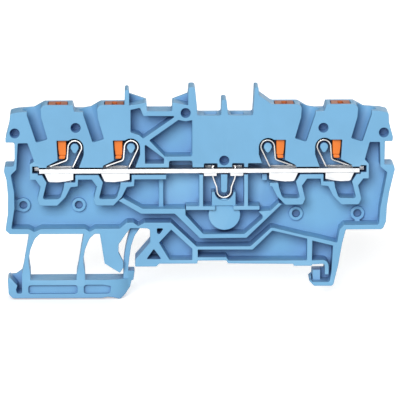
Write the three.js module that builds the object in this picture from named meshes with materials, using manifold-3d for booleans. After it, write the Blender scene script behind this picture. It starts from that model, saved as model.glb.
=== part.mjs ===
// DIN rail terminal block with four push-in clamps, seen from its open side.
// Millimetres. X runs along the block, Y through its width (open side at -Y), Z up.
// The origin is on the 35 mm rail's centre line, at mid width, on the rail's top surface.
import * as THREE from 'three';
import { mergeVertices } from 'three/addons/utils/BufferGeometryUtils.js';
import Module from 'manifold-3d';

const wasm = await Module();
wasm.setup();

// Driving dimensions.
const WIDTH = 5.2; // pitch of neighbouring blocks on the rail
const FRONT = -WIDTH / 2;
const BACK = WIDTH / 2;
const FLOOR = BACK - 1.0; // inner face of the back wall
const OPEN = FRONT - 1; // where a cut from the open side starts
const ROOTED = FLOOR + 0.1; // where a rib that stands on the back wall ends
const HOUSING_TOP = 29.3; // top of the four turrets
const HOUSING_BOTTOM = 6.0; // underside of the left half, where the flexible legs start
const FOOT_TOP = -2.4; // top of the latch foot
const LIP_TOP = -1.15; // the hook's lip, just under a rail flange 1 mm thick
const LEG_BASE = -0.2; // top of the foot's raised end, under the last leg
const BAR_TOP = 17.7;
const BAR_THICK = 0.8;
const BAR_BOTTOM = BAR_TOP - BAR_THICK;
const BAR_FRONT = -2.3;
const BAR_BACK = 1.3;
const TAB_FRONT = -0.2; // the tabs at the bar's ends are narrower than the bar
const GAP = 0.3; // clearance left between the bar's tabs and the housing
const LEG_PITCH = 9.75;
const WIRE_CHANNEL_RADIUS = 1.5;
const SPRING_THICK = 0.3;
const LIP_FRONT = -0.6; // the lip under the rail stands back from the open side
const GUARD_BACK = -1.4; // the guard web stays in front of the last leg
const LATCH_FRONT = -1.1; // the last leg and the raised end pass behind the guard web

// The clamp units are mirrored about the middle of the block, 10 mm apart in each half.
const MIDLINE = -4.8;
const UNIT_PITCH = 10;
const OUTER_UNIT = -27;
const UNITS = [
  { name: '1', x: OUTER_UNIT, side: 1 },
  { name: '2', x: OUTER_UNIT + UNIT_PITCH, side: 1 },
  { name: '3', x: 2 * MIDLINE - OUTER_UNIT - UNIT_PITCH, side: -1 },
  { name: '4', x: 2 * MIDLINE - OUTER_UNIT, side: -1 },
];

// ---------------------------------------------------------------- outlines and solids

// Draws a path through corners [x, z] or [x, z, r]; a corner with r is rounded with that radius.
function drawCorners(path, corners, closed) {
  const last = corners.length - 1;
  corners.forEach(([x, z, radius = 0], i) => {
    const corner = new THREE.Vector2(x, z);
    const isEnd = !closed && (i === 0 || i === last);
    let entry = corner;
    let exit = corner;
    if (radius > 0 && !isEnd) {
      const before = new THREE.Vector2(...corners[i === 0 ? last : i - 1]).sub(corner);
      const after = new THREE.Vector2(...corners[i === last ? 0 : i + 1]).sub(corner);
      const turn = before.angleTo(after);
      const reach = Math.min(radius / Math.tan(turn / 2), 0.48 * before.length(), 0.48 * after.length());
      entry = corner.clone().addScaledVector(before.normalize(), reach);
      exit = corner.clone().addScaledVector(after.normalize(), reach);
    }
    if (i === 0) path.moveTo(entry.x, entry.y);
    else path.lineTo(entry.x, entry.y);
    if (exit !== corner) path.quadraticCurveTo(x, z, exit.x, exit.y);
  });
  return path;
}

// Turns a closed geometry into a solid that can be cut and joined.
function solid(geometry) {
  geometry.deleteAttribute('normal');
  geometry.deleteAttribute('uv');
  const merged = mergeVertices(geometry, 1e-4);
  const mesh = new wasm.Mesh({
    numProp: 3,
    vertProperties: new Float32Array(merged.attributes.position.array),
    triVerts: new Uint32Array(merged.index.array),
  });
  return new wasm.Manifold(mesh);
}

// Extrudes a shape drawn in the X-Z plane from y = front to y = back.
function extrude(shape, front, back, curveSegments = 4) {
  const geometry = new THREE.ExtrudeGeometry(shape, {
    depth: back - front,
    bevelEnabled: false,
    curveSegments,
  });
  geometry.rotateX(Math.PI / 2);
  geometry.translate(0, back, 0);
  return solid(geometry);
}

function slab(corners, front = FRONT, back = BACK) {
  return extrude(drawCorners(new THREE.Shape(), corners, true), front, back);
}

function block(x0, x1, z0, z1, front = FRONT, back = BACK) {
  return slab([[x0, z0], [x1, z0], [x1, z1], [x0, z1]], front, back);
}

function disc(x, z, radius, front = FRONT, back = BACK, segments = 24) {
  const shape = new THREE.Shape();
  shape.absarc(x, z, radius, 0, 2 * Math.PI, false);
  return extrude(shape, front, back, segments);
}

// A wall or strip of constant thickness that follows an open path.
function ribbon(points, thickness, front, back) {
  const half = thickness / 2;
  const left = [];
  const right = [];
  points.forEach((point, i) => {
    const along = points[Math.min(i + 1, points.length - 1)].clone().sub(points[Math.max(i - 1, 0)]);
    const step = i > 0 ? point.clone().sub(points[i - 1]) : along.clone();
    const normal = new THREE.Vector2(-along.y, along.x).normalize();
    const stepNormal = new THREE.Vector2(-step.y, step.x).normalize();
    const mitre = half / Math.max(0.5, normal.dot(stepNormal));
    left.push(point.clone().addScaledVector(normal, mitre));
    right.unshift(point.clone().addScaledVector(normal, -mitre));
  });
  return extrude(new THREE.Shape([...left, ...right]), front, back);
}

function wall(corners, thickness, front = FRONT, back = ROOTED) {
  const points = drawCorners(new THREE.Path(), corners, false).getPoints(4);
  const distinct = points.filter((p, i) => i === 0 || p.distanceTo(points[i - 1]) > 1e-3);
  return ribbon(distinct, thickness, front, back);
}

// A round bar between two points of the plane y = depth, tapering from the first radius to the second.
function rod([x0, z0], [x1, z1], radius0, radius1, depth) {
  const length = Math.hypot(x1 - x0, z1 - z0);
  const geometry = new THREE.CylinderGeometry(radius1, radius0, length, 24);
  geometry.rotateZ(Math.atan2(x0 - x1, z1 - z0));
  geometry.rotateX(Math.PI / 2);
  geometry.translate((x0 + x1) / 2, depth, (z0 + z1) / 2);
  return solid(geometry);
}

// Places corners given in a clamp unit's own measure u, which grows towards the block's middle.
const inUnit = (unit, corners) => corners.map(([u, z, r]) => [unit.x + unit.side * u, z, r]);
const unitBlock = (unit, u0, u1, z0, z1, front, back) =>
  slab(inUnit(unit, [[u0, z0], [u1, z0], [u1, z1], [u0, z1]]), front, back);

const join = (solids) => solids.reduce((whole, piece) => whole.add(piece));
const cut = (whole, solids) => solids.reduce((rest, piece) => rest.subtract(piece), whole);

// ---------------------------------------------------------------- housing

// The outline of the back wall, clockwise from the upper left lobe.
const HOUSING_OUTLINE = [
  [-38.35, 27.75, 0.5], [-37.0, 28.05, 0.6], [-34.1, 28.25, 1.2], [-32.3, HOUSING_TOP, 0.8],
  [-27.25, HOUSING_TOP, 0.15], [-26.95, 28.05, 0.1], [-25.4, 28.05, 0.4], [-24.1, 28.25, 1.0],
  [-22.3, HOUSING_TOP, 0.8], [-18.05, HOUSING_TOP], [-18.0, 32.0, 0.35], [-17.3, 32.0, 0.3],
  [-17.2, 30.65], [-14.15, 29.6, 0.2], [-14.1, 28.15, 0.2], [-9.65, 28.15, 0.2], [-9.6, 29.6, 0.2],
  [-6.85, 30.65], [-6.7, 32.45, 0.4], [-5.6, 32.45, 0.4], [-5.25, 29.0], [-5.2, 27.35, 0.4],
  [-0.95, 27.35, 0.4], [-0.9, 30.2, 0.4], [0.0, 30.2, 0.4], [0.3, 27.35, 0.4], [4.7, 27.35, 0.4],
  [4.95, 32.4, 0.25], [5.65, 32.4, 0.25], [5.8, 30.95, 0.3], [7.9, 29.4, 0.3], [8.3, HOUSING_TOP],
  [12.7, HOUSING_TOP, 0.8], [14.5, 28.25, 1.0], [15.8, 28.05, 0.4], [17.4, 28.05, 0.1],
  [17.7, HOUSING_TOP, 0.15], [22.7, HOUSING_TOP, 0.8], [24.5, 28.25, 1.2], [27.4, 28.05, 0.6],
  [28.75, 27.75, 0.5], [28.85, 25.9, 0.6], [29.55, 23.4, 0.3], [29.5, 22.6, 0.2], [28.15, 22.6],
  [28.1, 18.35, 0.15], [29.75, 18.4, 0.4], [29.95, 17.5, 0.3], [29.0, 13.3], [28.6, 10.8],
  [28.45, 8.0, 0.6], [27.9, 6.6, 0.8], [21.3, 6.6, 0.3], [20.65, 4.0], [20.0, 0.15], [19.5, -2.0],
  [19.1, -3.7, 0.6], [15.7, -3.7, 0.5], [14.75, -2.7, 0.2], [15.4, -2.2, 0.2], [15.4, LIP_TOP, 0.1],
  [17.6, LIP_TOP], [17.6, 0.25, 0.5],
  [15.3, 0.15], [15.25, 0], [12.0, 0], [12.0, 0.35], [0.3, 0.5], [0.0, 1.05], [-5.1, 1.05],
  [-5.2, 0.5], [-12.0, 0.5], [-12.5, 0], [-16.3, 0, 0.15], [-16.25, 1.3], [-13.6, 4.4, 0.4],
  [-13.6, 6.9, 0.8], [-14.9, 7.0], [-17.1, 7.0], [-17.9, HOUSING_BOTTOM],
  [-38.6, HOUSING_BOTTOM, 0.4], [-39.35, 6.7, 0.4], [-38.9, 9.5, 1.0], [-38.85, 13.0],
  [-39.1, 15.9], [-39.55, 17.4, 0.3], [-39.35, 18.3, 0.4], [-37.85, 18.3], [-37.6, 19.2],
  [-37.6, 22.35], [-37.8, 22.6], [-39.2, 22.6, 0.2], [-39.2, 23.3, 0.3], [-38.5, 25.9, 0.6],
];

// The hollow between the outer walls, below the solid upper half and above the lower rib.
const CHAMBER = [
  [-37.0, 22.45, 0.2], [-35.3, 22.45, 0.2], [-34.15, 19.1, 0.2], [-34.95, 18.7], [-34.95, 18.0],
  [25.35, 18.0], [25.35, 18.5], [24.6, 19.3, 0.2], [25.45, 22.45, 0.2], [27.25, 22.45, 0.2],
  [27.35, 18.0, 0.3], [28.6, 16.95, 0.3], [28.0, 13.8], [27.4, 10.5], [27.2, 7.45, 0.4],
  [20.95, 7.45, 0.2], [20.2, 6.6], [19.75, 4.2], [14.9, 5.4], [14.4, 5.45], [8.4, 6.95, 0.2],
  [7.9, 6.95, 0.2], [4.3, 3.6, 0.2], [-5.3, 3.6, 0.2], [-9.9, 8.0, 0.3], [-14.6, 8.0, 0.4],
  [-15.7, 7.4, 0.2], [-16.6, 8.05, 0.6], [-17.8, 8.0, 0.4], [-19.0, 6.95], [-23.4, 6.95, 0.3],
  [-24.35, 6.4], [-25.2, 6.95, 0.3], [-33.0, 6.95, 0.3], [-34.2, 6.4], [-35.2, 6.95, 0.3],
  [-38.3, 6.95, 0.3], [-37.7, 10.6, 1.0], [-37.75, 13.7], [-38.3, 16.7, 0.4], [-37.3, 17.7, 0.3],
];

// Hollows of the rail side and of the solid upper half, all down to the floor.
const POCKETS = [
  [[-5.1, 3.05], [4.7, 3.0, 0.3], [8.2, 6.45, 0.2], [14.4, 4.95], [14.4, 1.0], [0.4, 1.0],
    [0.0, 1.65], [-5.1, 1.65]],
  [[15.35, 4.6], [19.05, 3.65], [18.75, -1.3], [18.45, -2.95, 0.3], [15.3, -2.95], [15.3, 1.0]],
  [[-12.95, 3.2, 0.15], [-11.6, 1.35, 0.15], [-14.25, 1.35, 0.15]],
  [[-12.4, 6.95, 0.2], [-11.15, 6.95, 0.2], [-12.0, 5.8, 0.2], [-12.35, 6.1]],
  [[-9.85, 6.7], [-6.1, 3.2], [-6.1, 1.15], [-10.1, 1.15], [-12.0, 4.35]],
  [[-17.0, 28.4], [-15.35, 28.75, 0.3], [-14.75, 27.3, 0.2], [-9.0, 27.25, 0.2], [-14.8, 23.25],
    [-15.5, 23.9, 0.3], [-17.0, 24.35, 0.3]],
  [[-14.5, 22.2, 0.2], [-11.1, 19.6, 0.2], [-11.1, 18.7], [-14.45, 18.7]],
  [[-13.7, 22.9, 0.2], [-8.55, 26.55], [-7.3, 26.3, 0.6], [-6.1, 26.5], [-6.1, 20.0, 0.3],
    [-10.9, 19.95, 0.2]],
  [[-10.2, 19.2, 0.4], [-6.05, 19.2, 0.4], [-6.05, 17.9], [-10.2, 17.9]],
  [[-4.0, 18.7, 0.2], [-1.6, 18.7, 0.2], [-1.6, 17.9], [-4.0, 17.9]],
  [[1.0, 18.7, 0.2], [3.15, 18.7, 0.2], [3.15, 17.9], [1.0, 17.9]],
  [[3.85, 18.7, 0.2], [6.6, 18.7, 0.2], [6.6, 17.9], [3.85, 17.9]],
  [[-34.5, 18.25], [-33.45, 18.25], [-33.45, 17.9], [-34.5, 17.9]],
  [[23.85, 18.25], [24.9, 18.25], [24.9, 17.9], [23.85, 17.9]],
];

// The two jaws of the marker carrier stand lower in front of the back wall.
const JAW_STEPS = [
  [[-17.25, 29.2], [-15.9, 29.4], [-14.0, 29.8], [-14.0, 31.0], [-17.25, 31.0]],
  [[-9.75, 29.8], [-6.8, 29.2], [-6.8, 31.0], [-9.75, 31.0]],
];

const LOCATING_HOLES = [[-37.55, 24.25], [-26.75, 25.2], [-7.25, 27.8], [-0.4, 19.2], [17.2, 25.05],
  [27.95, 24.15]];
const LOCATING_HOLE_RADIUS = 0.88;
const LOCATING_HOLE_END = FRONT + 3.2;

// Low rings on the floor take the locating pins of the neighbouring block.
const RING_BOSSES = [[-36.2, 10.6], [-26.3, 10.6], [12.55, 8.85], [23.55, 8.85]];
const RING_OUTER = 1.28;
const RING_INNER = 0.72;
const RING_FRONT = FLOOR - 0.7;
const RING_HOLE_END = FLOOR + 0.5;

// Shafts from the two jumper slots down to the current bar.
const JUMPER_SHAFTS = [[-3.95, -1.7], [0.8, 3.05]];
const JUMPER_BEND_X = -0.4; // middle of the U-shaped jumper spring's round bottom
const JUMPER_BEND_Z = 13.5;
const JUMPER_BEND_RADIUS = 1.25;

function unitCuts(unit) {
  const wireDepth = 0.05;
  const [top, neck, bend, bottom] = inUnit(unit, [[-8.3, 31.0], [-5.8, 23.1], [-5.9, 23.4], [-4.15, 17.9]]);
  return [
    // Wire entry: a mouth open in front, and a round channel that narrows and slants down to the bar.
    slab(inUnit(unit, [[-8.35, 27.5], [-6.75, 22.55, 0.3], [-4.75, 23.15, 0.2], [-5.85, 27.0, 0.4],
      [-5.95, 28.6, 0.4], [-5.3, 29.6], [-5.3, 31.0], [-8.35, 31.0]]), OPEN, wireDepth),
    rod(top, neck, 1.95, WIRE_CHANNEL_RADIUS, wireDepth),
    rod(bend, bottom, WIRE_CHANNEL_RADIUS, WIRE_CHANNEL_RADIUS, wireDepth),
    // Shaft of the push-button.
    unitBlock(unit, -4.7, -1.1, 25.0, 30.0, -1.95, 1.75),
    unitBlock(unit, -3.3, -1.25, 22.5, 25.1, -1.95, 1.75),
    // Window and spring chamber.
    slab(inUnit(unit, [[-3.15, 22.9, 0.1], [-3.05, 21.0], [-2.95, 19.3, 0.2], [-4.9, 18.35],
      [-4.95, 17.9], [0.75, 17.9], [1.15, 18.9], [1.65, 20.3, 0.2], [1.65, 21.6], [0, 22.9],
      [-1.3, 22.9]]), OPEN, FLOOR),
    disc(unit.x, 21.6, 1.65, OPEN, FLOOR, 12),
  ];
}

function springPeg(unit) {
  const taper = slab(inUnit(unit, [[-0.62, 21.4], [0.72, 21.4], [0.4, 20.75, 0.2], [0.05, 20.5, 0.15],
    [-0.3, 20.75, 0.2]]), FRONT + 0.3, BACK);
  return disc(unit.x + unit.side * 0.05, 21.6, 0.72, FRONT + 0.3, BACK, 10).add(taper);
}

// The pocket that takes the wire's end below the bar, with its surrounding wall.
function wirePocket(unit) {
  const shell = slab(inUnit(unit, [[-7.95, 16.65], [-7.95, 15.85], [-6.95, 15.85], [-6.05, 14.6],
    [-6.65, 12.2, 0.3], [-6.2, 11.15, 0.5], [-3.1, 11.15, 0.3], [-1.6, 12.7], [-0.7, 14.5, 0.3],
    [0.6, 14.6, 0.1], [0.65, 15.85], [0.65, 16.65]]), FRONT, ROOTED);
  const hollow = slab(inUnit(unit, [[-5.9, 16.9], [-4.95, 15.3, 0.3], [-5.7, 12.3, 0.4],
    [-2.6, 12.35, 0.8], [-1.95, 14.3, 0.6], [-1.8, 15.3, 0.2], [0.15, 15.35], [0.15, 16.9]]),
  OPEN, FLOOR);
  const openShell = shell.subtract(hollow);
  if (unit.name !== '3') return openShell;
  return cut(openShell, [
    unitBlock(unit, -1.9, 1, 15.1, 17, OPEN, BACK),
    unitBlock(unit, -0.3, 1, 14, 17, OPEN, BACK),
  ]);
}

// Ribs that stand on the floor of the chamber.
function chamberRibs() {
  const upperVRib = slab([[-18.4, 12.5], [-14.9, 10.55], [-7.3, 10.5], [-7.3, 9.35, 0.2],
    [-4.1, 5.85, 0.2], [3.2, 5.85, 0.2], [6.45, 8.7, 0.2], [6.45, 9.2], [5.65, 9.95, 0.1],
    [7.9, 10.1, 0.2], [9.3, 11.5], [9.9, 11.3], [3.6, 5.15, 0.3], [-4.7, 5.1, 0.3],
    [-9.2, 9.6, 0.3], [-15.2, 9.6, 0.3], [-19.2, 12.0]], FRONT, ROOTED);
  const springSeat = cut(block(-2.6, 1.65, 10.9, 13.4, -2.0, ROOTED), [
    disc(JUMPER_BEND_X, JUMPER_BEND_Z, JUMPER_BEND_RADIUS + 0.43, OPEN, BACK, 20),
  ]);
  const discBoss = disc(-0.35, 9.25, 2.85, -1.6, ROOTED, 20);
  const ribTop = 16.65;
  return [
    upperVRib,
    springSeat,
    discBoss,
    block(-4.85, -4.15, 10.9, ribTop, FRONT, ROOTED),
    block(3.15, 3.85, 10.8, ribTop, FRONT, ROOTED),
    block(-7.2, -2.0, 10.25, 10.95, FRONT, ROOTED),
    block(1.2, 5.9, 10.25, 10.95, FRONT, ROOTED),
    slab([[-1.0, 16.6], [0.2, 16.6], [0.15, 13.3, 0.5], [-0.95, 13.3, 0.5]], -2.0, ROOTED),
    block(-12.0, -11.2, 10.4, 16.0, -0.5, ROOTED),
    block(6.4, 7.3, 15.2, 16.4, -0.5, ROOTED),
    block(-16.7, -10.7, 15.85, ribTop, FRONT, ROOTED),
    block(-26.5, -24.8, 15.85, ribTop, FRONT, ROOTED),
    block(15.2, 16.9, 15.85, ribTop, FRONT, ROOTED),
    block(-34.95, -34.5, 15.85, 18.1, FRONT, ROOTED),
    block(24.9, 25.35, 15.85, 18.1, FRONT, ROOTED),
    block(-34.95, -33.5, 16.3, 17.0, FRONT, -1.8),
    block(23.9, 25.35, 16.3, 17.0, FRONT, -1.8),
    slab([[-38.2, 9.6], [-37.3, 9.6, 0.3], [-36.4, 9.35], [-36.4, 11.85], [-37.3, 11.6, 0.3], [-38.2, 11.6]],
      RING_FRONT, ROOTED),
    block(23.1, 24.0, 7.2, 8.2, RING_FRONT, ROOTED),
    ...RING_BOSSES.map(([x, z]) => disc(x, z, RING_OUTER, RING_FRONT, ROOTED, 12)),
    ...UNITS.map(wirePocket),
    ...UNITS.map(springPeg),
  ];
}

function housing() {
  const hollowed = cut(slab(HOUSING_OUTLINE), [
    slab(CHAMBER, OPEN, FLOOR),
    ...POCKETS.map((pocket) => slab(pocket, OPEN, FLOOR)),
    ...JAW_STEPS.map((step) => slab(step, OPEN, FLOOR)),
    block(14.5, 17.6, -2.65, -1.0, OPEN, LIP_FRONT),
    ...UNITS.flatMap(unitCuts),
    ...JUMPER_SHAFTS.map(([x0, x1]) => block(x0, x1, 17.9, 28.0, -1.3, 1.3)),
  ]);
  // The hook's lip, the springy rib over the rail's right edge and the thin guard web beside the last leg.
  const lip = block(15.5, 16.9, -3.0, LIP_TOP, LIP_FRONT, BACK);
  const hookRib = wall([[15.1, 0.6], [17.95, 0.75, 0.9], [17.95, -1.6]], 0.7);
  const guard = slab([[-22.6, 6.3], [-21.75, 0.6, 0.3], [-20.5, -0.2, 0.3], [-19.0, -1.15, 0.2],
    [-18.4, -0.2, 0.4], [-18.4, 0.9, 0.4], [-19.25, 2.6, 0.6], [-19.2, 4.1, 0.6], [-17.7, 6.3]],
  FRONT, GUARD_BACK);
  const filled = join([hollowed, lip, hookRib, guard, ...chamberRibs()]);
  return cut(filled, [
    ...LOCATING_HOLES.map(([x, z]) => disc(x, z, LOCATING_HOLE_RADIUS, OPEN, LOCATING_HOLE_END, 12)),
    ...RING_BOSSES.map(([x, z]) => disc(x, z, RING_INNER, OPEN, RING_HOLE_END, 8)),
  ]);
}

// ---------------------------------------------------------------- metal pieces

// A collar under the bar that surrounds the wire.
function wireCollar(unit) {
  const outer = slab(inUnit(unit, [[-5.4, BAR_BOTTOM + 0.1], [-4.75, 15.5, 0.2], [-4.4, 15.35],
    [-3.0, 15.3], [-1.6, 15.45], [-0.2, 15.75], [-0.2, BAR_BOTTOM + 0.1]]), -2.2, 1.1);
  const inner = slab(inUnit(unit, [[-5.1, 18.0], [-5.1, BAR_BOTTOM], [-4.5, 15.0], [-0.55, 15.0],
    [-0.55, 18.0]]), -1.85, 0.75);
  return { outer, inner };
}

function currentBar() {
  const bar = block(-33.3, 23.7, BAR_BOTTOM, BAR_TOP, BAR_FRONT, BAR_BACK);
  const leftTab = block(-34.5 + GAP, -33.2, BAR_BOTTOM + 0.05, BAR_TOP - 0.05, TAB_FRONT, BAR_BACK);
  const rightTab = block(23.6, 24.9 - GAP, BAR_BOTTOM + 0.05, BAR_TOP - 0.05, TAB_FRONT, BAR_BACK);
  const collars = UNITS.map(wireCollar);
  const jumperCollars = JUMPER_SHAFTS.map(([x0, x1]) =>
    block(x0 - 0.1, x1, 16.2, BAR_BOTTOM + 0.1, -1.5, 1.1));
  const jumperHoles = JUMPER_SHAFTS.map(([x0, x1]) => block(x0 + 0.2, x1 - 0.2, 16, 18, -1.2, 0.8));
  const solidBar = join([bar, leftTab, rightTab, ...collars.map((c) => c.outer), ...jumperCollars]);
  return cut(solidBar, [...collars.map((c) => c.inner), ...jumperHoles]);
}

// The clamp spring: a blade that bites the wire, a round loop over the peg and a leg to the bar.
function clampSpring(unit) {
  const path = new THREE.Path();
  const loopRadius = 1.2;
  const loop = [0.05, 21.55];
  const blade = [[-4.5, 18.1], [-1.3, 19.35, 0.7], [loop[0] - loopRadius, loop[1]]];
  drawCorners(path, blade, false);
  path.absarc(loop[0], loop[1], loopRadius, Math.PI, -0.25, true);
  path.lineTo(-0.35, 17.98);
  const points = path.getPoints(8).map((p) => new THREE.Vector2(unit.x + unit.side * p.x, p.y));
  const distinct = points.filter((p, i) => i === 0 || p.distanceTo(points[i - 1]) > 1e-3);
  return ribbon(distinct, SPRING_THICK, -2.0, 1.2);
}

// The U-shaped spring that grips a plug-in jumper in both shafts.
function jumperSpring() {
  const arm = [[-2.3, 18.15], [-2.6, 17.3, 0.4], [-2.45, 16.0, 0.6],
    [JUMPER_BEND_X - JUMPER_BEND_RADIUS, JUMPER_BEND_Z + 0.3, 0.3],
    [JUMPER_BEND_X - JUMPER_BEND_RADIUS, JUMPER_BEND_Z]];
  const path = drawCorners(new THREE.Path(), arm, false);
  path.absarc(JUMPER_BEND_X, JUMPER_BEND_Z, JUMPER_BEND_RADIUS, Math.PI, 2 * Math.PI, false);
  const left = path.getPoints(8).filter((p) => p.x < JUMPER_BEND_X + 1e-6);
  const right = left.slice(0, -1).reverse();
  const points = [...left, ...right.map((p) => new THREE.Vector2(2 * JUMPER_BEND_X - p.x, p.y))];
  const distinct = points.filter((p, i) => i === 0 || p.distanceTo(points[i - 1]) > 1e-3);
  return ribbon(distinct, 0.25, -1.1, 0.7);
}

// ---------------------------------------------------------------- push-buttons

function pushButton(unit) {
  const head = unitBlock(unit, -4.55, -1.2, 26.4, HOUSING_TOP, -1.8, 1.6);
  const stem = slab(inUnit(unit, [[-3.05, 26.5], [-3.0, 22.8], [-2.9, 21.3], [-2.5, 20.0],
    [-2.45, 19.45, 0.2], [-1.75, 19.45, 0.2], [-1.5, 20.2], [-1.4, 26.5]]), -1.7, 1.4);
  const driverNotch = unitBlock(unit, -3.3, -2.4, 28.3, 30, -2, 0.9);
  return head.add(stem).subtract(driverNotch);
}

// ---------------------------------------------------------------- rail latch

// A flexible leg of the latch; each outline runs down the left edge and up the right edge.
const OUTER_LEG = [
  [-35.15, HOUSING_BOTTOM], [-35.65, 3.4, 3.0], [-36.05, 1.0, 3.0], [-36.2, 0.0, 1.0], [-36.5, -1.3, 0.4],
  [-36.5, FOOT_TOP], [-34.95, FOOT_TOP], [-35.0, -1.0, 2.0], [-35.3, 1.2, 3.0], [-34.95, 3.2, 3.0],
  [-34.1, 5.3, 1.5], [-33.0, HOUSING_BOTTOM],
];
const SECOND_LEG = OUTER_LEG.map(([x, z, r]) => [x + LEG_PITCH, z, r]);
const INNER_LEG = [
  [-16.95, 7.0], [-17.5, 5.2, 2.0], [-18.0, 3.0, 2.0], [-18.3, 1.0, 2.0], [-18.4, LEG_BASE],
  [-17.5, LEG_BASE], [-17.3, 1.4, 2.0], [-17.0, 3.4, 2.0], [-16.3, 5.5, 2.0], [-15.0, 7.0],
];

function flexLeg(name) {
  if (name === '1') return slab(OUTER_LEG);
  if (name === '2') return slab(SECOND_LEG);
  return slab(INNER_LEG, LATCH_FRONT, BACK);
}

function railLatch() {
  const foot = slab([
    [-39.05, -2.4, 0.3], [-38.75, -1.75, 0.15], [-37.0, -1.75, 0.5], [-36.5, -1.3], [-36.5, FOOT_TOP],
    [-16.8, FOOT_TOP], [-17.2, -4.0], [-18.0, -5.15, 0.4], [-18.95, -6.05, 0.5], [-20.2, -5.65, 0.6],
    [-21.2, -5.5], [-22.2, -5.7, 0.3], [-38.2, -5.7, 0.6], [-38.9, -4.9, 0.4],
  ]);
  // The pocket for a screwdriver's tip is open in front and on top, with a web behind it.
  const driverPocket = slab([[-38.7, -1.7], [-37.3, -3.4, 0.2], [-37.55, -4.1, 0.2], [-37.4, -4.85, 0.4],
    [-36.5, -4.85, 0.4], [-36.5, 0.0], [-38.7, 0.0]], OPEN, FLOOR);
  const webTop = slab([[-39.5, 0.0], [-39.5, -2.0], [-38.6, -2.2], [-37.6, -2.15, 0.6], [-36.5, -1.3],
    [-36.5, 0.0]], FLOOR, BACK + 1);
  // The raised end carries the last leg and the nose that reaches under the rail.
  const raisedEnd = slab([[-18.4, FOOT_TOP - 0.2], [-18.4, LEG_BASE], [-17.5, LEG_BASE], [-17.5, -1.1],
    [-16.35, -1.1, 0.15], [-16.6, -2.9]], LATCH_FRONT, BACK);
  const frontRounding = new THREE.Shape();
  frontRounding.moveTo(-22.5, OPEN);
  frontRounding.lineTo(-22.5, FRONT);
  frontRounding.quadraticCurveTo(-19.0, FRONT, -17.5, LATCH_FRONT);
  frontRounding.lineTo(-16.0, -0.4);
  frontRounding.lineTo(-16.0, OPEN);
  const footHeight = 8;
  const roundingGeometry = new THREE.ExtrudeGeometry(frontRounding, {
    depth: footHeight,
    bevelEnabled: false,
    curveSegments: 8,
  });
  roundingGeometry.translate(0, 0, -footHeight);
  const slotEnd = FRONT + 0.8;
  return cut(foot.add(raisedEnd), [
    driverPocket,
    webTop,
    solid(roundingGeometry),
    slab([[-35.35, -3.35, 0.5], [-26.6, -3.35, 0.5], [-26.6, -4.9, 0.5], [-35.35, -4.9, 0.5]], OPEN, slotEnd),
    slab([[-25.45, -3.35, 0.5], [-22.0, -3.3, 0.5], [-20.6, -3.6, 0.3], [-20.8, -4.9, 0.4],
      [-25.45, -4.9, 0.5]], OPEN, slotEnd),
  ]);
}

// ---------------------------------------------------------------- assembly

const MATERIALS = {
  plastic: new THREE.MeshStandardMaterial({ color: 0x86bde8, roughness: 0.45, metalness: 0 }),
  orange: new THREE.MeshStandardMaterial({ color: 0xf07a28, roughness: 0.45, metalness: 0 }),
  tin: new THREE.MeshStandardMaterial({ color: 0xe8eaec, roughness: 0.25, metalness: 1 }),
  steel: new THREE.MeshStandardMaterial({ color: 0xc9ccd0, roughness: 0.2, metalness: 1 }),
};

const terminalBlock = new THREE.Group();

function addNode(name, manifold, material) {
  const { numProp, vertProperties, triVerts } = manifold.getMesh();
  const geometry = new THREE.BufferGeometry();
  const stride = new THREE.InterleavedBuffer(vertProperties, numProp);
  geometry.setAttribute('position', new THREE.InterleavedBufferAttribute(stride, 3, 0));
  geometry.setIndex(new THREE.BufferAttribute(triVerts, 1));
  geometry.computeVertexNormals();
  const mesh = new THREE.Mesh(geometry, material);
  mesh.name = name;
  terminalBlock.add(mesh);
}

addNode('housing', housing(), MATERIALS.plastic);
addNode('current_bar', currentBar(), MATERIALS.tin);
addNode('jumper_spring', jumperSpring(), MATERIALS.steel);
UNITS.forEach((unit) => {
  addNode(`clamp_spring_${unit.name}`, clampSpring(unit), MATERIALS.steel);
  addNode(`push_button_${unit.name}`, pushButton(unit), MATERIALS.orange);
});
['1', '2', '3'].forEach((name) => addNode(`flex_leg_${name}`, flexLeg(name), MATERIALS.plastic));
addNode('rail_latch', railLatch(), MATERIALS.plastic);

export default terminalBlock;
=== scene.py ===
"""The looks of a DIN rail terminal block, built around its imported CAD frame. Metres, +Z up.

Mesh work is done in millimetres and scaled down at the end, because the rounded edges are far smaller
than a millimetre.
"""
import math

import bmesh
import bpy
import numpy as np
from mathutils import Matrix, Vector
from mathutils.bvhtree import BVHTree
from mathutils.geometry import delaunay_2d_cdt


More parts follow.
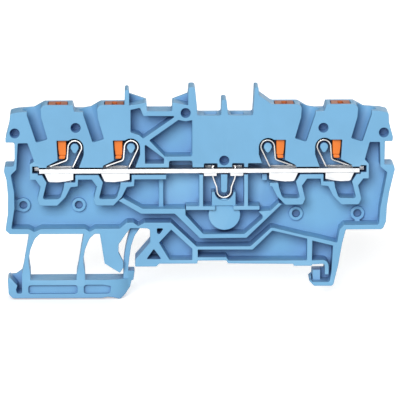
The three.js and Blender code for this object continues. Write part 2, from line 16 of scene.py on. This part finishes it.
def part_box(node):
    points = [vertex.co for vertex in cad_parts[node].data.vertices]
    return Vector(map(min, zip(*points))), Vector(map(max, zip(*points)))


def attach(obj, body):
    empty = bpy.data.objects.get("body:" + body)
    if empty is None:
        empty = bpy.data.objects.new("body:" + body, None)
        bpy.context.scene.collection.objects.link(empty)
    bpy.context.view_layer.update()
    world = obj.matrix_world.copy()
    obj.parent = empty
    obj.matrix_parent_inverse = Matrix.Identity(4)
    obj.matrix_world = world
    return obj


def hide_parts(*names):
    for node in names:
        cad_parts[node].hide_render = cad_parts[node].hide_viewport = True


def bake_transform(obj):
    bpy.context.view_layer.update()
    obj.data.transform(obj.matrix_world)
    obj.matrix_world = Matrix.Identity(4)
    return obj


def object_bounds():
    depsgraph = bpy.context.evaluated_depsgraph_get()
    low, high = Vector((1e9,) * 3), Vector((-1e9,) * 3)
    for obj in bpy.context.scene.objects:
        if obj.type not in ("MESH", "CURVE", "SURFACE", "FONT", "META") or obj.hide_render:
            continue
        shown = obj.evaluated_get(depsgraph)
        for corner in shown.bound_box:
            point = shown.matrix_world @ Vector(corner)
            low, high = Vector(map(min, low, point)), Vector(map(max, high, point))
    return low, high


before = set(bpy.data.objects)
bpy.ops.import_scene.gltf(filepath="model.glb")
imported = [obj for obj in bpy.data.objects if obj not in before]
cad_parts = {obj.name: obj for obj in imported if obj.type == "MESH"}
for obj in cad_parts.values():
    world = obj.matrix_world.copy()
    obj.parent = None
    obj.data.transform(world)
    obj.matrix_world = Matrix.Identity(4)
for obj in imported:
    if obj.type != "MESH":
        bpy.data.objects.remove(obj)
CAD_LOW, CAD_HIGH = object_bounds()

MM = 0.001
UNITS = ("1", "2", "3", "4")
LEGS = ("flex_leg_1", "flex_leg_2", "flex_leg_3")

# Rounded edges, in millimetres.
PLASTIC_ROUND = 0.1
BUTTON_ROUND = 0.08
BAR_ROUND = 0.06
SHARP_ANGLE = math.radians(32)  # edges that turn more than this are rounded
ROUND_TURN = math.radians(52)  # most that shading turns across one edge of a rounding
BROAD_WIDTH = 0.13  # a flat region with a greater mean width is a face, not part of a rounding
TINY_EDGE = 0.045
FLAT_TURN = math.radians(1.2)
STRAY_LIMIT = 0.45  # share of the rounding's width that a corner may leave the old surface
SAME_PLANE = 0.99995  # cosine between the normals of faces in one plane
NEARLY_Y = 0.998  # normals this close to the Y axis are set along it

# How far a material looks for walls that shelter a place from light; sheltered places get painted shade.
CHAMBER_REACH = 4 * MM
CREASE_REACH = 1.3 * MM
METAL_CREASE_REACH = 0.8 * MM


def box_mm(node):
    """Lowest and highest corner of a CAD node, in millimetres."""
    low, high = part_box(node)
    return low / MM, high / MM


# ---------------------------------------------------------------- mesh work

def cad_object(node, name):
    """A working copy of a CAD node's mesh in millimetres, with corners at the same place merged."""
    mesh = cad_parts[node].data.copy()
    mesh.transform(Matrix.Scale(1 / MM, 4))
    mesh.materials.clear()
    work = bmesh.new()
    work.from_mesh(mesh)
    bmesh.ops.remove_doubles(work, verts=work.verts, dist=0.0005)
    work.to_mesh(mesh)
    work.free()
    return new_object(name, mesh)


def new_object(name, mesh):
    mesh.name = name
    piece = bpy.data.objects.new(name, mesh)
    bpy.context.scene.collection.objects.link(piece)
    return piece


def prism(name, outline, front, back):
    """A closed solid with an outline in the X-Z plane, from y = front to y = back, in millimetres."""
    work = bmesh.new()
    near = [work.verts.new((x, front, z)) for x, z in outline]
    far = [work.verts.new((x, back, z)) for x, z in outline]
    work.faces.new(near)
    work.faces.new(far[::-1])
    for i in range(len(outline)):
        j = (i + 1) % len(outline)
        work.faces.new((near[j], near[i], far[i], far[j]))
    bmesh.ops.recalc_face_normals(work, faces=work.faces)
    mesh = bpy.data.meshes.new(name)
    work.to_mesh(mesh)
    work.free()
    return new_object(name, mesh)


def combine(target, tool, operation, keep_tool=False, solver="MANIFOLD"):
    """Joins, cuts or intersects target with tool, in place."""
    modifier = target.modifiers.new("combine", "BOOLEAN")
    modifier.operation = operation
    modifier.solver = solver
    modifier.use_hole_tolerant = solver == "EXACT"
    modifier.object = tool
    bake_modifiers(target)
    if not keep_tool:
        drop(tool)


def bake_modifiers(piece):
    """Puts the result of a piece's modifiers into its mesh."""
    bpy.context.view_layer.update()
    graph = bpy.context.evaluated_depsgraph_get()
    baked = bpy.data.meshes.new_from_object(piece.evaluated_get(graph))
    old = piece.data
    name = old.name
    piece.modifiers.clear()
    piece.data = baked
    bpy.data.meshes.remove(old)
    baked.name = name


def drop(piece):
    mesh = piece.data
    bpy.data.objects.remove(piece)
    bpy.data.meshes.remove(mesh)


def duplicate(piece, name):
    return new_object(name, piece.data.copy())


def round_edges(piece, width, segments=2):
    """Rounds a piece's sharp edges. Tiny edges go first, and no corner may stray from the surface it had."""
    work = bmesh.new()
    work.from_mesh(piece.data)
    surface = BVHTree.FromBMesh(work)
    front = min(v.co.y for v in work.verts)
    back = max(v.co.y for v in work.verts)
    bmesh.ops.dissolve_degenerate(work, edges=work.edges, dist=TINY_EDGE)
    refill_flat_regions(work)
    bmesh.ops.dissolve_limit(work, angle_limit=FLAT_TURN, verts=work.verts, edges=work.edges)
    sharp = [e for e in work.edges if e.is_manifold and e.calc_face_angle() > SHARP_ANGLE]
    bmesh.ops.bevel(work, geom=sharp, offset=width, offset_type="OFFSET", segments=segments,
                    profile=0.5, affect="EDGES", clamp_overlap=False)
    for vertex in work.verts:
        place, normal, index, distance = surface.find_nearest(vertex.co)
        if distance > STRAY_LIMIT * width:
            vertex.co = place
        vertex.co.y = min(max(vertex.co.y, front), back)
    refill_flat_regions(work)
    work.to_mesh(piece.data)
    work.free()


def flat_regions(work, single_faces=False):
    """Sets of joined faces that lie in one plane, the largest face first.

    Triangles and quads that stand alone in their plane come only on request.
    """
    work.normal_update()
    left = set(work.faces)
    for seed in sorted(work.faces, key=lambda f: (-f.calc_area(), f.index)):
        if seed not in left:
            continue
        left.remove(seed)
        region, border = [seed], [seed]
        while border:
            for edge in border.pop().edges:
                for other in edge.link_faces:
                    if other in left and abs(other.normal.dot(seed.normal)) > SAME_PLANE:
                        left.remove(other)
                        region.append(other)
                        border.append(other)
        if single_faces or len(region) > 1 or len(seed.verts) > 4:
            yield region


def rim_edges(region):
    """The edges between a region and the faces around it."""
    members = set(region)
    return [e for f in region for e in f.edges if sum(g in members for g in e.link_faces) == 1]


def inside(points, starts, ends):
    """Which points lie inside the loops made of those edges, by the even-odd rule."""
    x, z = points[:, 0, None], points[:, 1, None]
    x0, z0, x1, z1 = starts[:, 0], starts[:, 1], ends[:, 0], ends[:, 1]
    spans = (z0 > z) != (z1 > z)
    rise = np.where(z1 == z0, 1.0, z1 - z0)
    crossing = x0 + (z - z0) / rise * (x1 - x0)
    return ((spans & (x < crossing)).sum(axis=1) % 2) == 1


def refill_flat_regions(work):
    """Fills each flat region afresh from its border, so that no sliver folds over its neighbour."""
    work.faces.index_update()
    for region in list(flat_regions(work)):
        normal = region[0].normal.copy()
        across = normal.orthogonal().normalized()
        up = normal.cross(across)
        rim = rim_edges(region)
        corners = list(dict.fromkeys(v for e in rim for v in e.verts))
        index = {v: i for i, v in enumerate(corners)}
        flat = [Vector((v.co.dot(across), v.co.dot(up))) for v in corners]
        pairs = [(index[e.verts[0]], index[e.verts[1]]) for e in rim]
        height = region[0].calc_center_median().dot(normal)
        made = delaunay_2d_cdt(flat, pairs, [], 0, 1e-6)
        places, triangles, origins = made[0], made[2], made[3]
        if not triangles:
            continue
        flat_array = np.array(flat)
        ends = np.array(pairs)
        spots = np.array(places)
        centres = spots[np.array(triangles)].mean(axis=1)
        kept = inside(centres, flat_array[ends[:, 0]], flat_array[ends[:, 1]])
        vertices = [corners[o[0]] if o else work.verts.new(across * p.x + up * p.y + normal * height)
                    for p, o in zip(places, origins)]
        bmesh.ops.delete(work, geom=region, context="FACES_ONLY")
        for triangle, keep in zip(triangles, kept):
            if keep:
                add_face(work, [vertices[i] for i in triangle], normal)
    bmesh.ops.delete(work, geom=[e for e in work.edges if not e.link_faces], context="EDGES")
    bmesh.ops.delete(work, geom=[v for v in work.verts if not v.link_faces], context="VERTS")


def add_face(work, corners, normal):
    if len(set(corners)) < 3 or work.faces.get(corners):
        return
    face = work.faces.new(corners)
    face.normal_update()
    if face.normal.dot(normal) < 0:
        face.normal_flip()


def shade_rounded(mesh):
    """Broad faces shade flat or as one curve, and the narrow faces of rounded edges turn between them."""
    work = bmesh.new()
    work.from_mesh(mesh)
    work.normal_update()
    work.faces.index_update()
    broad = [True] * len(work.faces)
    for region in flat_regions(work, single_faces=True):
        rim_length = sum(e.calc_length() for e in rim_edges(region))
        is_broad = 2 * sum(f.calc_area() for f in region) > BROAD_WIDTH * rim_length
        for face in region:
            broad[face.index] = is_broad
    normals = []
    for face in work.faces:
        for vertex in face.verts:
            near = [g for g in vertex.link_faces if g.normal.dot(face.normal) > math.cos(ROUND_TURN)]
            wide = [g for g in near if broad[g.index]]
            if broad[face.index]:
                near = [g for g in wide if g.normal.dot(face.normal) > math.cos(SHARP_ANGLE)]
            elif wide:
                near = wide
            total = Vector()
            for normal in {tuple(round(c, 3) for c in g.normal) for g in near}:
                total += Vector(normal)
            normal = total.normalized() if total.length > 0.01 else face.normal.copy()
            if abs(normal.y) > NEARLY_Y:
                normal = Vector((0, math.copysign(1, normal.y), 0))
            normals.append(normal)
    work.free()
    mesh.normals_split_custom_set(normals)


def finish_mesh(piece, material, nodes=()):
    """Shades a piece, scales it down to metres, gives it its material, and hides the CAD nodes it stands
    for.
    """
    piece.data.shade_smooth()
    shade_rounded(piece.data)
    piece.data.transform(Matrix.Scale(MM, 4))
    piece.data.materials.clear()
    piece.data.materials.append(material)
    if nodes:
        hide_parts(*nodes)
    return piece


# ---------------------------------------------------------------- materials

class Nodes:
    """Short calls for a material's node tree."""

    def __init__(self, name):
        self.material = bpy.data.materials.new(name)
        self.material.use_nodes = True
        self.tree = self.material.node_tree
        self.tree.nodes.clear()
        self.output = self.tree.nodes.new("ShaderNodeOutputMaterial")
        self.shader = self.tree.nodes.new("ShaderNodeBsdfPrincipled")
        self.tree.links.new(self.shader.outputs[0], self.output.inputs["Surface"])

    def node(self, kind, **values):
        made = self.tree.nodes.new(kind)
        for key, value in values.items():
            setattr(made, key, value)
        return made

    def link(self, source, target):
        self.tree.links.new(source, target)

    def noise(self, scale, detail=3.0, roughness=0.55, stretch=(1, 1, 1)):
        coordinates = self.node("ShaderNodeTexCoord")
        mapping = self.node("ShaderNodeMapping")
        mapping.inputs["Scale"].default_value = stretch
        texture = self.node("ShaderNodeTexNoise")
        texture.inputs["Scale"].default_value = scale
        texture.inputs["Detail"].default_value = detail
        texture.inputs["Roughness"].default_value = roughness
        self.link(coordinates.outputs["Object"], mapping.inputs["Vector"])
        self.link(mapping.outputs["Vector"], texture.inputs["Vector"])
        return texture.outputs["Fac"]

    def height(self):
        """Height above the rail, in metres."""
        coordinates = self.node("ShaderNodeTexCoord")
        parts = self.node("ShaderNodeSeparateXYZ")
        self.link(coordinates.outputs["Object"], parts.inputs[0])
        return parts.outputs["Z"]

    def ramp(self, factor, low, high, start=0.35, end=0.65):
        made = self.node("ShaderNodeMapRange")
        made.inputs["From Min"].default_value = start
        made.inputs["From Max"].default_value = end
        made.inputs["To Min"].default_value = low
        made.inputs["To Max"].default_value = high
        self.link(factor, made.inputs["Value"])
        return made.outputs["Result"]

    def mix(self, factor, first, second, blend="MIX"):
        made = self.node("ShaderNodeMix", data_type="RGBA", blend_type=blend)
        self.link(factor, made.inputs[0])
        for value, socket in ((first, made.inputs[6]), (second, made.inputs[7])):
            if isinstance(value, tuple):
                socket.default_value = (*value, 1)
            else:
                self.link(value, socket)
        return made.outputs[2]

    def bump(self, height, strength, distance, after=None):
        made = self.node("ShaderNodeBump")
        made.inputs["Strength"].default_value = strength
        made.inputs["Distance"].default_value = distance
        self.link(height, made.inputs["Height"])
        if after is not None:
            self.link(after, made.inputs["Normal"])
        return made.outputs["Normal"]

    def shelter(self, distance):
        """0 far down a narrow recess, 1 on an open face; the mask for painted shade."""
        made = self.node("ShaderNodeAmbientOcclusion", samples=12)
        made.inputs["Distance"].default_value = distance
        return made.outputs["AO"]


def moulded_plastic(name, face, shade, crease_shade, edge, head_shade=None):
    """Satin moulded plastic: fine spark-eroded grain and faint flow marks, with painted shade in recesses
    and creases and a painted highlight on sharp edges.

    The last argument, when given, is painted shade: a darker tone that takes over between two heights, as
    (tone, low, high).
    """
    n = Nodes(name)
    flow = n.noise(160, detail=2)
    tone = n.mix(n.ramp(flow, 0.0, 1.0), face, tuple(0.94 * c for c in face))
    if head_shade:
        # Painted shade: above a given height the tone turns to a darker one, which deepens the push-buttons'
        # heads.
        tone = n.mix(n.ramp(n.height(), 0.0, 1.0, head_shade[1], head_shade[2]), tone, head_shade[0])
    # Painted shade: recesses and chambers darken towards the shade tone, by how closely walls shelter them.
    tone = n.mix(n.ramp(n.shelter(CHAMBER_REACH), 0.8, 0.0, 0.1, 0.75), tone, shade)
    # Painted shade: tight creases and corners darken to a near-black tone.
    tone = n.mix(n.ramp(n.shelter(CREASE_REACH), 1.0, 0.0, 0.0, 0.6), tone, crease_shade)
    # Painted highlight: sharp edges and rims turn paler, by pointiness.
    pointed = n.node("ShaderNodeNewGeometry").outputs["Pointiness"]
    tone = n.mix(n.ramp(pointed, 0.0, 0.15, 0.52, 0.62), tone, edge)
    n.link(tone, n.shader.inputs["Base Color"])
    n.link(n.ramp(n.noise(900), 0.42, 0.56), n.shader.inputs["Roughness"])
    grain = n.bump(n.noise(14000, detail=2), 0.12, 0.02 * MM)
    n.link(n.bump(n.noise(420, detail=1), 0.10, 0.08 * MM, after=grain), n.shader.inputs["Normal"])
    n.shader.inputs["IOR"].default_value = 1.5
    n.shader.inputs["Specular IOR Level"].default_value = 0.35
    return n.material


def plated_metal(name, face, dull, corner_shade, roughness, stretch):
    """Bright metal: fine rolling lines along the strip, soft duller patches, and painted shade that darkens
    tight corners.
    """
    n = Nodes(name)
    n.shader.inputs["Metallic"].default_value = 1.0
    tone = n.mix(n.ramp(n.noise(600, detail=4), 0.0, 1.0), face, dull)
    # Painted shade: tight corners darken towards the corner tone.
    tone = n.mix(n.ramp(n.shelter(METAL_CREASE_REACH), 1.0, 0.0, 0.0, 0.6), tone, corner_shade)
    n.link(tone, n.shader.inputs["Base Color"])
    lines = n.noise(5000, stretch=stretch)
    n.link(n.ramp(lines, roughness, roughness + 0.14), n.shader.inputs["Roughness"])
    n.link(n.bump(n.noise(9000, stretch=stretch), 0.08, 0.01 * MM), n.shader.inputs["Normal"])
    return n.material


BUTTON_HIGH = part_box("push_button_1")[1].z
# Painted shade: the push-buttons darken towards a deeper red-orange from two millimetres below their top.
HEAD_PAINTED_SHADE = ((0.27, 0.045, 0.012), BUTTON_HIGH - 2 * MM, BUTTON_HIGH - MM)
# The shade and crease tones of the plastics are painted shade, and their edge tones are a painted highlight.
BLUE = moulded_plastic("blue_plastic", face=(0.158, 0.38, 0.60), shade=(0.115, 0.23, 0.47),
                       crease_shade=(0.02, 0.045, 0.16), edge=(0.40, 0.66, 0.85))
ORANGE = moulded_plastic("orange_plastic", face=(0.78, 0.19, 0.022), shade=(0.55, 0.10, 0.012),
                         crease_shade=(0.10, 0.015, 0.004), edge=(0.95, 0.40, 0.10), head_shade=HEAD_PAINTED_SHADE)
# The metals' corner tones are painted shade.
TIN = plated_metal("tinned_copper", face=(0.69, 0.70, 0.71), dull=(0.58, 0.59, 0.60),
                   corner_shade=(0.2, 0.2, 0.22), roughness=0.26, stretch=(0.05, 1, 1))
STEEL = plated_metal("spring_steel", face=(0.72, 0.72, 0.72), dull=(0.52, 0.52, 0.51),
                     corner_shade=(0.10, 0.09, 0.08), roughness=0.2, stretch=(1, 0.05, 1))


# ---------------------------------------------------------------- housing, legs and latch

def blue_moulding():
    """The housing, its flexible legs and the latch foot, joined and rounded as the one moulding they are."""
    root = 0.25
    whole = cad_object("housing", "housing_moulding")
    for name in LEGS:
        leg = cad_object(name, name + "_tool")
        low, high = box_mm(name)
        for vertex in leg.data.vertices:
            if vertex.co.z > high.z - 0.01:
                vertex.co.z += root
            elif vertex.co.z < low.z + 0.01:
                vertex.co.z -= root
        combine(whole, leg, "UNION")
    combine(whole, cad_object("rail_latch", "latch_tool"), "UNION")
    round_edges(whole, PLASTIC_ROUND)
    return whole


def flexible_region():
    """The space of the legs and the foot, up to where the legs grow out of the housing."""
    foot_low, foot_high = box_mm("rail_latch")
    outer_low, outer_high = box_mm("flex_leg_1")
    middle_low, middle_high = box_mm("flex_leg_2")
    inner_low, inner_high = box_mm("flex_leg_3")
    left = foot_low.x - 1
    right = foot_high.x + 0.3
    guard_left = middle_high.x + 0.5
    region = prism("region", [(left, foot_low.z - 1), (right, foot_low.z - 1), (right, outer_low.z),
                              (guard_left, outer_low.z), (guard_left, outer_high.z),
                              (left, outer_high.z)], outer_low.y - 1, outer_high.y + 1)
    # The last leg passes behind the guard web, close to the rail seat.
    base, top = inner_low.z, inner_high.z
    x0, x1 = inner_low.x, inner_high.x
    behind = prism("behind", [(x0 - 0.5, outer_low.z - 0.1), (right, outer_low.z - 0.1), (right, base - 0.3),
                              (x0 + 1.5, base - 0.3), (x0 + 1.9, base + 2.2), (x1 - 0.2, base + 4.6),
                              (x1 + 0.3, base + 6.4), (x1 + 0.05, top), (x0 + 1.38, top),
                              (x0 + 0.9, base + 6.1), (x0 - 0.5, base + 5.2)],
                   inner_low.y - 0.15, inner_high.y + 1)
    combine(region, behind, "UNION")
    return region


def blue_pieces():
    housing = blue_moulding()
    region = flexible_region()
    foot = duplicate(housing, "flexible_foot")
    combine(foot, region, "INTERSECT", keep_tool=True, solver="EXACT")
    combine(housing, region, "DIFFERENCE", solver="EXACT")
    finish_mesh(housing, BLUE, ["housing"])
    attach(housing, "housing")
    finish_mesh(foot, BLUE, ["rail_latch", *LEGS])
    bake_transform(foot)


# ---------------------------------------------------------------- metal

def unit_side(unit):
    """+1 where a clamp's loop lies towards +X of its push-button, otherwise -1."""
    spring_low, spring_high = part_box("clamp_spring_" + unit)
    button_low, button_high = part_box("push_button_" + unit)
    return 1 if (spring_low + spring_high).x > (button_low + button_high).x else -1


def arc(centre, radius, start, end, steps):
    angles = [start + (end - start) * i / steps for i in range(steps + 1)]
    return [(centre[0] + radius * math.cos(a), centre[1] + radius * math.sin(a)) for a in angles]


def rounded_corner(before, corner, after, reach, steps=6):
    """Points of a soft bend at a corner of a path."""
    corner = Vector(corner)
    first = corner + (Vector(before) - corner).normalized() * reach
    last = corner + (Vector(after) - corner).normalized() * reach
    points = []
    for i in range(steps + 1):
        t = i / steps
        points.append(tuple(first * (1 - t) ** 2 + corner * (2 * t * (1 - t)) + last * t * t))
    return points


def strip(name, points, thickness, front, back, edge_round):
    """Sheet metal of constant thickness bent along a path in the X-Z plane, with eased edges."""
    half = thickness / 2
    path = [Vector(p) for p in points]
    left, right = [], []
    for i, point in enumerate(path):
        along = path[min(i + 1, len(path) - 1)] - path[max(i - 1, 0)]
        normal = Vector((-along.y, along.x)).normalized()
        left.append(tuple(point + half * normal))
        right.append(tuple(point - half * normal))
    piece = prism(name, left + right[::-1], front, back)
    work = bmesh.new()
    work.from_mesh(piece.data)
    rim = [e for e in work.edges if e.calc_face_angle() > math.radians(60)]
    bmesh.ops.bevel(work, geom=rim, offset=edge_round, offset_type="OFFSET", segments=3, profile=0.5,
                    affect="EDGES", clamp_overlap=True)
    work.to_mesh(piece.data)
    work.free()
    return piece


def clamp_spring(unit):
    """A blade, a round loop over the peg and a leg that stands on the current bar."""
    low, high = box_mm("clamp_spring_" + unit)
    side = unit_side(unit)
    thickness = 0.25
    radius = 1.2
    blade_reach = 4.5  # from the loop's centre to the blade's tip
    narrowing = 0.45
    loop_x = (high.x if side > 0 else -low.x) - radius - thickness / 2
    loop_z = high.z - radius - thickness / 2
    tip = (loop_x - blade_reach, low.z + 0.12)
    bend = (loop_x - 1.4, loop_z - 2.4)
    loop_start = (loop_x - radius, loop_z)
    loop = arc((loop_x, loop_z), radius, math.pi, -0.25, 28)
    path = [tip, *rounded_corner(tip, bend, loop_start, 0.55), *loop, (loop_x - 0.4, low.z + 0.05)]
    piece = strip("clamp_spring_strip_" + unit, path, thickness, low.y, high.y, 0.05)
    # The blade narrows towards its tip, which dips between the collar's walls.
    middle_y = (low.y + high.y) / 2 - 0.15
    for vertex in piece.data.vertices:
        past = min(1.0, max(0.0, (bend[0] + 0.2 - vertex.co.x) / 0.8))
        if past and vertex.co.z < bend[1] + 0.8:
            vertex.co.y = middle_y + (vertex.co.y - middle_y) * (1 - narrowing * past)
        vertex.co.x *= side
    if side < 0:
        piece.data.flip_normals()
    finish_mesh(piece, STEEL, ["clamp_spring_" + unit])
    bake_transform(piece)


def jumper_spring():
    """A U of sheet metal whose arms reach up into the two jumper shafts."""
    low, high = box_mm("jumper_spring")
    x = (low.x + high.x) / 2
    thickness = 0.25
    radius = 1.25
    bend_z = low.z + radius + thickness / 2
    elbow = (x - 2.2, high.z - 0.95)
    waist = (x - 1.95, high.z - 2.4)
    arm = [(x - 1.9, high.z - 0.1),
           *rounded_corner((x - 1.9, high.z), elbow, (x - 2.05, high.z - 2.2), 0.35),
           *rounded_corner(elbow, waist, (x - radius, bend_z + 0.5), 0.6),
           (x - radius - 0.08, bend_z + 0.7)]
    left = arm + arc((x, bend_z), radius, math.pi, 1.5 * math.pi, 12)
    right = [(2 * x - px, pz) for px, pz in reversed(left[:-1])]
    piece = strip("jumper_spring_strip", left + right, thickness, low.y, high.y, 0.04)
    finish_mesh(piece, STEEL, ["jumper_spring"])
    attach(piece, "housing")


def current_bar():
    bar = cad_object("current_bar", "current_bar_plated")
    round_edges(bar, BAR_ROUND)
    finish_mesh(bar, TIN, ["current_bar"])
    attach(bar, "housing")


# ---------------------------------------------------------------- push-buttons

def widen_stem(work, side, low, high):
    """The outer side of the stem runs down almost straight, close to the window's edge."""
    outer = high.x if side < 0 else low.x
    outer_half = 2.25
    kink_z = high.z - 8.0
    slope, sloped_height = 0.17, 2.5
    for vertex in work.verts:
        inward = (vertex.co.x - outer) * side
        if vertex.co.z < kink_z and inward < outer_half:
            vertex.co.x = outer + side * (inward - slope * min(kink_z - vertex.co.z, sloped_height))


def push_button(unit):
    """A button with a groove round its stem, just above the tip that pushes the spring."""
    button = cad_object("push_button_" + unit, "push_button_moulded_" + unit)
    low, high = box_mm("push_button_" + unit)
    groove_z, groove_half, groove_depth = low.z + 0.6, 0.10, 0.14
    work = bmesh.new()
    work.from_mesh(button.data)
    widen_stem(work, unit_side(unit), low, high)
    for z in (groove_z - groove_half, groove_z, groove_z + groove_half):
        bmesh.ops.bisect_plane(work, geom=[*work.verts, *work.edges, *work.faces], dist=0.0001,
                               plane_co=(0, 0, z), plane_no=(0, 0, 1))
    ring = [v for v in work.verts if abs(v.co.z - groove_z) < 0.001]
    centre = sum((v.co for v in ring), Vector()) / len(ring)
    for vertex in ring:
        for axis in (0, 1):
            vertex.co[axis] -= math.copysign(groove_depth, vertex.co[axis] - centre[axis])
    work.to_mesh(button.data)
    work.free()
    round_edges(button, BUTTON_ROUND)
    finish_mesh(button, ORANGE, ["push_button_" + unit])
    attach(button, "push_button_" + unit)


blue_pieces()
current_bar()
jumper_spring()
for unit in UNITS:
    push_button(unit)
    clamp_spring(unit)


# ---------------------------------------------------------------- studio

def camera():
    """Looks at the open side, from 1.3 degrees to the left and 11.5 degrees above."""
    distance = 0.7
    azimuth, elevation = math.radians(-1.3), math.radians(11.5)
    target = Vector((-4.656, 0.0, 11.57)) * MM
    back = Vector((math.sin(azimuth) * math.cos(elevation), -math.cos(azimuth) * math.cos(elevation),
                   math.sin(elevation)))
    data = bpy.data.cameras.new("camera")
    data.lens = 352.8
    data.clip_start = 0.01
    data.clip_end = 20
    made = bpy.data.objects.new("camera", data)
    made.location = target + distance * back
    made.rotation_euler = (-back).to_track_quat("-Z", "Y").to_euler()
    bpy.context.scene.collection.objects.link(made)
    bpy.context.scene.camera = made


def sun_light(name, place, power, softness):
    """A distant lamp that shines from a place towards the object, with soft-edged shadows."""
    data = bpy.data.lights.new(name, "SUN")
    data.energy = power
    data.angle = math.radians(softness)
    made = bpy.data.objects.new(name, data)
    made.location = place
    made.rotation_euler = Vector(place).to_track_quat("Z", "Y").to_euler()
    bpy.context.scene.collection.objects.link(made)


def studio():
    world = bpy.data.worlds.new("studio")
    world.use_nodes = True
    background = world.node_tree.nodes["Background"]
    background.inputs["Color"].default_value = (1, 1, 1, 1)
    background.inputs["Strength"].default_value = 0.32
    bpy.context.scene.world = world
    sun_light("key", (-0.2, -0.9, 0.38), 3.2, 30)
    sun_light("rear", (0.5, 0.8, 0.5), 1.2, 60)
    floor_material = Nodes("floor")
    floor_material.shader.inputs["Base Color"].default_value = (0.97, 0.97, 0.97, 1)
    floor_material.shader.inputs["Roughness"].default_value = 0.6
    floor_material.shader.inputs["Emission Color"].default_value = (1, 1, 1, 1)
    floor_material.shader.inputs["Emission Strength"].default_value = 0.4
    half = 3.0
    mesh = bpy.data.meshes.new("floor")
    mesh.from_pydata([(-half, -half, 0), (half, -half, 0), (half, half, 0), (-half, half, 0)], [],
                     [(0, 1, 2, 3)])
    mesh.materials.append(floor_material.material)
    floor = new_object("floor", mesh)
    floor.location.z = CAD_LOW.z
    floor.visible_diffuse = False


camera()
studio()
bpy.context.scene.view_settings.view_transform = "Standard"
